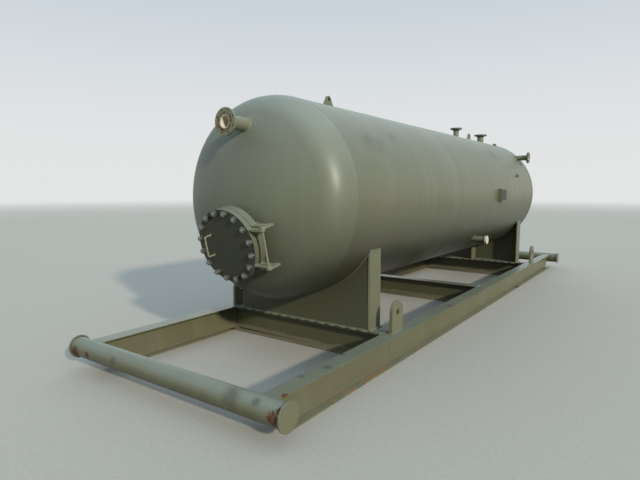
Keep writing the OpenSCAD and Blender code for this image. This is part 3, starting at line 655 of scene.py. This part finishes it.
# The linings' cream is made brighter as a painted highlight.
linings_with_painted_highlight = behind(*((tuple(Vector(face) + Vector(way) * 0.01), way, pipe - 0.0008)
                   for face, way, pipe, _ in NOZZLES.values()))
red_rings = behind(*((tuple(Vector(face) - Vector(way) * 0.0018), tuple(-Vector(way)), ring + 0.001)
                     for face, way, _, ring in NOZZLES.values()))
nozzle_layers = [(ragged(red_rings), ("#452a1d", "#82523a"), 0.8), (linings_with_painted_highlight, ("#ddd6bb", "#efe9d4"), 0.5)]
nozzle_enamel = enamel("olive_enamel_on_nozzles", ("#7a7b62", "#83846a"), FITTING_RUNS, dust_and_sky_sheen=0.35,
                       layers=nozzle_layers)
dark_enamel = enamel("dark_olive_enamel_on_flanges", ("#50523f", "#5a5c48"), FITTING_RUNS, "#6b6d58",
                     dust_and_sky_sheen=0.35, layers=nozzle_layers)
for name in ("front_nozzle_neck", "top_nozzle_necks", "side_nozzle_neck"):
    dress(name, nozzle_enamel)
dress("front_nozzle_flange", nozzle_enamel, 1.0)
dress("top_nozzle_flanges", dark_enamel, 1.0)
dress("side_nozzle_flange", dark_enamel, 1.0)
neck_joints, hub_joints = [], []
for name, (face, way, pipe, _) in NOZZLES.items():
    face, way = Vector(face), Vector(way)
    neck_joints.append(round_pipe(face, way, pipe, crown=name == "front"))
    hub_joints.append(round_pipe(face - way * HUB_DEPTH, -way, pipe, flat=True))
make_piece("nozzle_neck_welds", *beads(neck_joints, 0.017, 0.008, step=0.004, ripple=0.016), nozzle_enamel)
make_piece("nozzle_hub_welds", *beads(hub_joints, 0.012, 0.006, step=0.004, ripple=0.014), nozzle_enamel)


# Couplings. Two short forged sockets welded into the right side of the shell's rear end, painted
# outside and rusty in the bore.
SOCKET_R, SOCKET_BORE_R = 0.0285, 0.02
coupling_spots = []
for x, degrees in ((2.600, 22.0), (2.080, 71.0)):
    out = Vector((0.0, -sin(radians(degrees)), cos(radians(degrees))))
    coupling_spots.append((Vector((x, 0.0, AXIS_Z)) + out * TANK_R, out))
coupling_bores = bores(*((tuple(point), tuple(out), SOCKET_BORE_R) for point, out in coupling_spots))
coupling_enamel = enamel("olive_enamel_on_couplings", OLIVE, FITTING_RUNS, dust_and_sky_sheen=0.3,
                         layers=[(coupling_bores, BARE_PLATE, 0.8)])
dress("couplings", coupling_enamel, 1.0)
coupling_joints = [round_pipe(point, out, SOCKET_R, count=36) for point, out in coupling_spots]
make_piece("coupling_welds", *beads(coupling_joints, 0.013, 0.006, step=0.003, ripple=0.012), coupling_enamel)


# Lifting lugs. Flame-cut plates on the top of the shell with a fillet weld down both sides, and
# paint worn off round the holes.
LUG_X = (-2.144, 2.25)
LUG_HALF_LONG, LUG_HALF_THICK = 0.1, 0.0125
hole_rust = spots(*(((x, 0.0, 2.51), 0.05) for x in LUG_X), ragged=50.0)
lug_enamel = enamel("olive_enamel_on_lifting_lugs", OLIVE, FITTING_RUNS, layers=[(hole_rust, RUST, 0.8)])
dress("lifting_lugs", lug_enamel, 1.5)
lug_feet = []
for x in LUG_X:
    for side in (-1, 1):
        point, out = where(Vector((x, side * LUG_HALF_THICK, AXIS_Z)), Vector((0.0, 0.0, 1.0)))
        outward = out + Vector((0.0, side, 0.0))
        lug_feet.append([(point + Vector((end, 0.0, 0.0)), outward)
                         for end in (-LUG_HALF_LONG, LUG_HALF_LONG)])
make_piece("lifting_lug_welds", *beads(lug_feet, 0.014, 0.007, step=0.004, ripple=0.016), lug_enamel)


# Nameplate. A bracket of bent plate stands off the shell, and a blank plate of dark metal is held
# to it with four dome-headed rivets.
PLATE_X, PLATE_Y, PLATE_Z = 1.030, -0.979, 1.487
BRACKET_HALF = 0.130
RIVET_DOME = [(0.005, 0.0), (0.0048, 0.0012), (0.0036, 0.0024), (0.0012, 0.003)]
plate_metal, tree = new_material("dark_nameplate_metal")
place = add(tree, "TexCoord").outputs["Object"]
brushed = add(tree, "Mapping", {"Vector": place, "Scale": (6.0, 6.0, 300.0)}).outputs[0]
brushed = cloud(tree, brushed, 1.0, 4.0)
tint = mix(tree, brushed, "#2b2c27", "#45463d")
surface(tree, tint, 0.42, bumps(tree, brushed, 0.1, 0.0002), metallic=0.6)
dress("nameplate", plate_metal, 0.4)
dress("nameplate_bracket", weld_enamel, 1.0)
rivets = [((PLATE_X + x * 0.108, PLATE_Y, PLATE_Z + z * 0.068), (0.0, -1.0, 0.0))
          for x in (-1, 1) for z in (-1, 1)]
make_piece("nameplate_rivets", *turned(rivets, RIVET_DOME), zinc, slot="plate_metal")
legs = []
for side in (-1, 1):
    x = PLATE_X + side * BRACKET_HALF
    rows = [where(Vector((x, 0.0, z)), Vector((0.0, -1.0, 0.0))) for z in (1.399, 1.45, 1.487, 1.53, 1.575)]
    legs.append([(point, out + Vector((side, 0.0, 0.0))) for point, out in rows])
make_piece("nameplate_bracket_welds", *beads(legs, 0.009, 0.004, step=0.003, ripple=0.01), weld_enamel)


# Drain. A pipe stub low on the right side, painted with the tank, with a cream plastic cap pushed
# over its end.
DRAIN = (0.560, -0.865, 0.855)
dress("drain_pipe", weld_enamel)
drain_joint = round_pipe(DRAIN, (0.0, -1.0, 0.0), PIPE_3IN_R)
make_piece("drain_weld", *beads([drain_joint], 0.015, 0.007, step=0.004, ripple=0.016), weld_enamel)
cap_plastic = enamel("cream_plastic_cap", ("#d6cfb2", "#e2dcc4"), FITTING_RUNS, "#eae5d0", dust_and_sky_sheen=0.15,
                     gloss=0.45)
dress("drain_cap", cap_plastic, 3.0)


# Saddles. A web plate cut to the shell, end plates and a middle rib stand on a base plate that is
# stitch-welded to its cross-beam; flat olive, with the fillets running round each joint.
X, Y, Z = Vector((1.0, 0.0, 0.0)), Vector((0.0, 1.0, 0.0)), Vector((0.0, 0.0, 1.0))
SKID_RUNS = (4.0, 4.0, 0.5)
BEAM_TOP = 0.262
BASE_TOP = 0.2747
WEB_THICK, RIB_HALF = 0.0127, 0.00635
SADDLE_DEPTH = 0.206
SADDLE_HALF = 0.8
WEB_WELD_END = 0.785
END_PLATE_IN, END_PLATE_WELD_TOP, END_PLATE_TOP = 0.7873, 0.995, 1.0187
BASE_FRONT, BASE_BACK = 0.010, 0.216
SHELL_FOOT = AXIS_Z - TANK_R
SHELL_SEAT = 114.0  # degrees of the shell that lie in the web
FIRST_STITCH, STITCH, STITCH_PITCH = -0.78, 0.07, 0.12
saddle_enamel = enamel("olive_enamel_on_saddles", ("#6b6c52", "#74755a"), SKID_RUNS, dust_and_sky_sheen=0.35, gloss=0.4)
# The webs take the saddle olive darkened, as a painted shade.
web_enamel_in_painted_shade = enamel("olive_enamel_darkened_as_painted_shade_on_saddle_webs", ("#50513a", "#595a43"), SKID_RUNS, "#66674f",
                    dust_and_sky_sheen=0.35, gloss=0.4)
for name in ("front_saddle", "rear_saddle"):
    dress(name + "_web", web_enamel_in_painted_shade)
    dress(name + "_ribs", saddle_enamel, 1.5)
    dress(name + "_base", saddle_enamel, 1.5)
fillets, stitches = [], []
for way, face in ((-1, -2.6295), (1, 2.7995)):
    front = X * way
    for side, x in ((front, face), (-front, face - way * WEB_THICK)):
        arc = []
        for k in range(37):
            turn = radians(-SHELL_SEAT / 2 + SHELL_SEAT * k / 36)
            radial = Vector((0.0, sin(turn), -cos(turn)))
            arc.append((Vector((x, 0.0, AXIS_Z)) + radial * TANK_R, side + radial))
        fillets.append(arc)
        fillets.append([((x, y, BASE_TOP), side + Z) for y in (-WEB_WELD_END, WEB_WELD_END)])
    ends = (face, face - way * SADDLE_DEPTH)
    for side in (-1, 1):
        fillets.append([((x, side * SADDLE_HALF, BASE_TOP), Y * side + Z) for x in ends])
        fillets.append([((x, side * SADDLE_HALF, END_PLATE_TOP), Y * side - Z * 0.2) for x in ends])
        fillets.append([((face, side * END_PLATE_IN, z), front) for z in (BASE_TOP, END_PLATE_WELD_TOP)])
    ends = (face - way * WEB_THICK, face - way * SADDLE_DEPTH)
    for side in (-1, 1):
        y = side * RIB_HALF
        fillets.append([((x, y, BASE_TOP), Y * side + Z) for x in ends])
        fillets.append([((x, y, SHELL_FOOT), Y * side - Z) for x in ends])
        fillets.append([((ends[0], y, z), Y * side - front) for z in (BASE_TOP, SHELL_FOOT)])
    for edge, side in ((face + way * BASE_FRONT, front), (face - way * BASE_BACK, -front)):
        for k in range(13):
            y = FIRST_STITCH + STITCH_PITCH * k
            stitches.append([((edge, y, BEAM_TOP), side + Z), ((edge, y + STITCH, BEAM_TOP), side + Z)])
make_piece("saddle_fillet_welds", *beads(fillets, 0.012, 0.006, step=0.007, ripple=0.02), saddle_enamel)
# The stitches are a paler olive, as a painted highlight of sunlit weld.
stitch_enamel_with_painted_highlight = enamel("olive_enamel_paled_as_painted_highlight_on_stitches", ("#82836b", "#8d8e76"), SKID_RUNS, dust_and_sky_sheen=0.3)
make_piece("saddle_stitch_welds", *beads(stitches, 0.016, 0.009, step=0.006, ripple=0.018), stitch_enamel_with_painted_highlight)


# Skid beams. Rolled wide-flange sections with rounded roots, sprayed with the tank: dust and grit
# lie on the lower flanges, and rust shows at the knocked corners and along the lower edges.
def ledges(tree):
    """A mask of the lower flanges' upper faces, where grit and rust gather in ragged bands."""
    coords = add(tree, "TexCoord").outputs
    low = add(tree, "SeparateXYZ", {0: coords["Object"]}).outputs["Z"]
    low = ramp(tree, low, 0.03, 0.008)
    up = add(tree, "SeparateXYZ", {0: coords["Normal"]}).outputs["Z"]
    up = maths(tree, "MULTIPLY", ramp(tree, up, 0.1, 0.8), low)
    band = ramp(tree, cloud(tree, coords["Object"], 5.0, 10.0, 0.75), 0.4, 0.6, 0.0, 0.85, smooth=True)
    return maths(tree, "MULTIPLY", up, band)


def silt(tree):
    """A mask of the foot of the cross-beams, up to 45 to 80 mm, where dirt has banked up."""
    place = add(tree, "TexCoord").outputs["Object"]
    low = add(tree, "SeparateXYZ", {0: place}).outputs["Z"]
    crest = ramp(tree, cloud(tree, place, 9.0, 6.0, 0.6), 0.3, 0.7, 0.045, 0.08)
    return ramp(tree, maths(tree, "SUBTRACT", crest, low), 0.0, 0.012, 0.0, 0.8)


BASE_EDGES = (-2.6460, -2.4072, 2.8160, 2.5772)


def painted_stitch_gap_shadows(tree):
    """A mask of the cross-beams' tops along the base plates, darkened between the stitches as a painted
    shadow.
    """
    place = add(tree, "SeparateXYZ", {0: add(tree, "TexCoord").outputs["Object"]}).outputs
    found = 0.0
    for edge in BASE_EDGES:
        off = maths(tree, "ABSOLUTE", maths(tree, "SUBTRACT", place["X"], edge))
        found = maths(tree, "MAXIMUM", maths(tree, "LESS_THAN", off, 0.0075), found)
    return maths(tree, "MULTIPLY", found, maths(tree, "GREATER_THAN", place["Z"], 0.258))


GRIT = ("#6f5a3a", "#a08a60")
SILT = ("#6a6750", "#8a846a")
LEDGE_RUST = ("#85603a", "#b28a58")
# A painted shadow darkens the gaps between the stitches.
STITCH_GAP_SHADOW = ("#20211a", "#2c2d24")
beam_rust = spots(((-4.17, -1.065, 0.262), 0.065), ((-4.20, -1.067, 0.11), 0.07),
                  ((-3.9, 1.067, 0.005), 0.12), ((-4.1, 0.92, 0.02), 0.09), ((-2.66, 0.93, 0.011), 0.10),
                  ((-0.4, -1.067, 0.262), 0.05), ((1.7, -1.067, 0.004), 0.15), ((3.5, -1.067, 0.262), 0.06),
                  ((0.6, 1.067, 0.262), 0.05), ((2.2, 1.067, 0.004), 0.14), ((4.1, 1.067, 0.2), 0.09),
                  ((4.15, -1.06, 0.02), 0.1), ((-1.1, 0.92, 0.262), 0.04), ragged=40.0)
ledge_places = ((-3.42, -1.03), (-3.33, -1.05), (-3.12, -1.04), (-3.02, -1.05), (-2.92, -1.03),
                (-2.83, -1.04), (-4.04, 0.95), (-3.95, 0.94), (-2.70, 0.94), (2.40, -1.04),
                (2.52, -1.05), (-1.2, 1.05), (-1.1, 1.04), (3.6, 0.95))
ledge_rust = spots(*(((x, y, -0.04), 0.13) for x, y in ledge_places), ragged=30.0, low=0.2, high=0.36)
beam_scuffs = spots(((-3.6, -1.0, 0.262), 0.10), ((-3.85, -0.95, 0.262), 0.07), ((-3.3, -0.94, 0.262), 0.07),
                    ((-1.2, -1.02, 0.262), 0.12), ((0.9, -0.98, 0.262), 0.10), ((3.3, 1.0, 0.262), 0.12),
                    ragged=80.0, low=0.25, high=0.4, most=0.6)
beam_enamel = enamel("olive_enamel_on_rolled_beams", ("#68674c", "#717055"), SKID_RUNS, dust_and_sky_sheen=0.38,
                     gloss=0.38, layers=[(ledges, GRIT, 0.9), (ledge_rust, LEDGE_RUST, 0.9),
                                         (beam_scuffs, SMUDGE_AND_PAINTED_SHADOW, 0.6), (beam_rust, RUST, 0.85)])
# The cross-beams take the beams' olive darkened, as a painted shade.
cross_enamel_in_painted_shade = enamel("olive_enamel_darkened_as_painted_shade_on_cross_beams", ("#535239", "#5c5b42"), SKID_RUNS, "#6b6a52",
                      dust_and_sky_sheen=0.45, gloss=0.38, layers=[(silt, SILT, 0.9), (ledges, GRIT, 0.9),
                                                     (painted_stitch_gap_shadows, STITCH_GAP_SHADOW, 0.9)])
for name in ("left_beam", "right_beam"):
    dress(name, beam_enamel, 1.8)
for name in ("front_cross_beam", "middle_cross_beam", "rear_cross_beam"):
    dress(name, cross_enamel_in_painted_shade, 1.8)
BEAM_Y = 0.9935
CROSS_X = (-2.579, 0.135, 2.749)
CROSS_END = 0.92
WEB_HALF = 0.0033
UPPER, UPPER_END = 0.2508, 4.22
LOWER, LOWER_END = 0.0112, 4.125


def roots(corners, radius=0.011, steps=4):
    """The hollow curves in a rolled beam's corners: each is (start, end, two outwards)."""
    verts, faces = [], []
    for start, end, one, two in corners:
        first = len(verts)
        across = steps + 2
        for point in (start, end):
            centre = Vector(point) + (one + two) * radius
            verts.append(Vector(point))
            for k in range(steps + 1):
                turn = pi / 2 * k / steps
                verts.append(centre - (one * cos(turn) + two * sin(turn)) * radius)
        forward = (Vector(end) - Vector(start)).dot(one.cross(two)) > 0
        for k in range(1, steps + 1):
            quad = (first + k, first + k + 1, first + across + k + 1, first + across + k)
            faces.append(quad[::-1] if forward else quad)
        caps = tuple(first + k for k in range(across)), tuple(first + across + k for k in range(across))
        faces += [caps[0] if forward else caps[0][::-1], caps[1][::-1] if forward else caps[1]]
    return verts, faces


corners = []
for side in (-1, 1):
    for face in (-1, 1):
        y = side * BEAM_Y + face * WEB_HALF
        corners.append(((-UPPER_END, y, UPPER), (UPPER_END, y, UPPER), Y * face, -Z))
        corners.append(((-LOWER_END, y, LOWER), (LOWER_END, y, LOWER), Y * face, Z))
for middle in CROSS_X:
    for face in (-1, 1):
        x = middle + face * WEB_HALF
        corners.append(((x, -CROSS_END, UPPER), (x, CROSS_END, UPPER), X * face, -Z))
        corners.append(((x, -CROSS_END, LOWER), (x, CROSS_END, LOWER), X * face, Z))
# The roots take a darker olive, as a painted shade that hides the highlight in the hollow.
root_enamel_in_painted_shade = enamel("olive_enamel_darkened_as_painted_shade_in_beam_roots", ("#58573f", "#615f47"), SKID_RUNS, "#66654c",
                     dust_and_sky_sheen=0.1, gloss=0.6)
make_piece("beam_root_curves", *roots(corners), root_enamel_in_painted_shade, slot="skid_paint")


# Pull pipes, end discs and padeyes. Pipe across both ends of the skid with a plate disc closing
# each end, and thick lifting plates over the cross-beams, with rust where slings have rubbed.
PIPE_X, PIPE_Z, PIPE_R = 4.285, 0.19385, 0.08415
DISC_Y = 1.179
PADEYE_X = (-2.47, 2.875)
pipe_rust = spots(((-4.372, -1.13, 0.20), 0.10), ((-4.366, 1.12, 0.17), 0.11),
                  ((-4.345, -1.165, 0.25), 0.05), ((-4.37, 0.93, 0.185), 0.06), ((4.366, 1.09, 0.22), 0.12),
                  ((4.365, -1.12, 0.17), 0.12), ((4.36, 0.3, 0.24), 0.06), ragged=34.0, low=0.2, high=0.34)
pipe_scuffs = spots(((-4.35, -0.76, 0.245), 0.14), ((-4.34, -0.97, 0.262), 0.06),
                    ((-4.365, 0.55, 0.21), 0.07), ((4.35, 0.7, 0.245), 0.14),
                    ragged=18.0, low=0.08, high=0.45, most=0.6)
pipe_enamel = enamel("olive_enamel_on_pull_pipes", ("#6c6b50", "#757459"), SKID_RUNS, dust_and_sky_sheen=0.6,
                     gloss=0.38, layers=[(pipe_scuffs, SMUDGE_AND_PAINTED_SHADOW, 0.6), (pipe_rust, RUST, 0.85)])
eye_rust = spots(*(((x, y, 0.45), 0.07) for x in PADEYE_X for y in (-BEAM_Y, BEAM_Y)), ragged=55.0)
plate_enamel = enamel("olive_enamel_on_cut_plate", ("#6f6e53", "#78775c"), SKID_RUNS, dust_and_sky_sheen=0.4,
                      gloss=0.4, layers=[(eye_rust, RUST, 0.85)])
dress("front_pull_pipe", pipe_enamel)
dress("rear_pull_pipe", pipe_enamel)
dress("pipe_end_discs", plate_enamel, 1.5)
dress("padeyes", plate_enamel, 2.0)
disc_joints = [round_pipe((end * PIPE_X, side * DISC_Y, PIPE_Z), (0.0, -side, 0.0), PIPE_R, flat=True)
               for end in (-1, 1) for side in (-1, 1)]
# The welds round the discs are dark, as a painted shadow of the discs' rims on the pipe ends.
disc_weld_shadow_enamel = enamel("dark_enamel_as_painted_shadow_on_disc_welds", ("#2c2d22", "#3a3b2e"), SKID_RUNS, "#44453a", dust_and_sky_sheen=0.1)
make_piece("end_disc_welds", *beads(disc_joints, 0.009, 0.004, step=0.005, ripple=0.014), disc_weld_shadow_enamel,
           slot="skid_paint")


# Skid welds. Fillets where the beams meet the pull pipes and each other and under the padeyes,
# painted over with the rest.
FLANGE_HALF = 0.0735
EYE_HALF_LONG, EYE_HALF_THICK = 0.107, 0.016
WEB_FOOT, WEB_HEAD = 0.013, 0.249
SPLICE_X = -2.602
skid_joints = []
for end in (-1, 1):
    for side in (-1, 1):
        x = end * (PIPE_X - sqrt(PIPE_R**2 - (BEAM_TOP - PIPE_Z) ** 2))
        skid_joints.append([((x, side * BEAM_Y + y, BEAM_TOP), Z - X * end)
                            for y in (-FLANGE_HALF, FLANGE_HALF)])
        for face in (-1, 1):
            arc = []
            for k in range(13):
                turn = radians(42.0 - 105.0 * k / 12)
                radial = Vector((-end * cos(turn), 0.0, sin(turn)))
                point = Vector((end * PIPE_X, side * BEAM_Y + face * WEB_HALF, PIPE_Z)) + radial * PIPE_R
                arc.append((point, radial + Y * face))
            skid_joints.append(arc)
for middle in CROSS_X:
    for side in (-1, 1):
        for z in (BEAM_TOP, LOWER):
            skid_joints.append([((middle + x, side * CROSS_END, z), Z) for x in (-FLANGE_HALF, FLANGE_HALF)])
        for face in (-1, 1):
            x, y = middle + face * WEB_HALF, side * (BEAM_Y - WEB_HALF)
            skid_joints.append([((x, y, z), X * face - Y * side) for z in (WEB_FOOT, WEB_HEAD)])
for x in PADEYE_X:
    for side in (-1, 1):
        for face in (-1, 1):
            y = side * BEAM_Y + face * EYE_HALF_THICK
            skid_joints.append([((x + along, y, BEAM_TOP), Z + Y * face)
                                for along in (-EYE_HALF_LONG, EYE_HALF_LONG)])
            skid_joints.append([((x + face * EYE_HALF_LONG, side * BEAM_Y + across, BEAM_TOP), Z + X * face)
                                for across in (-EYE_HALF_THICK, EYE_HALF_THICK)])
# A splice in the right beam's outer web shows as one upright line.
skid_joints.append([((SPLICE_X, -BEAM_Y - WEB_HALF, z), -Y) for z in (0.014, 0.248)])
make_piece("skid_fillet_welds", *beads(skid_joints, 0.014, 0.007, step=0.005, ripple=0.016), beam_enamel,
           slot="skid_paint")
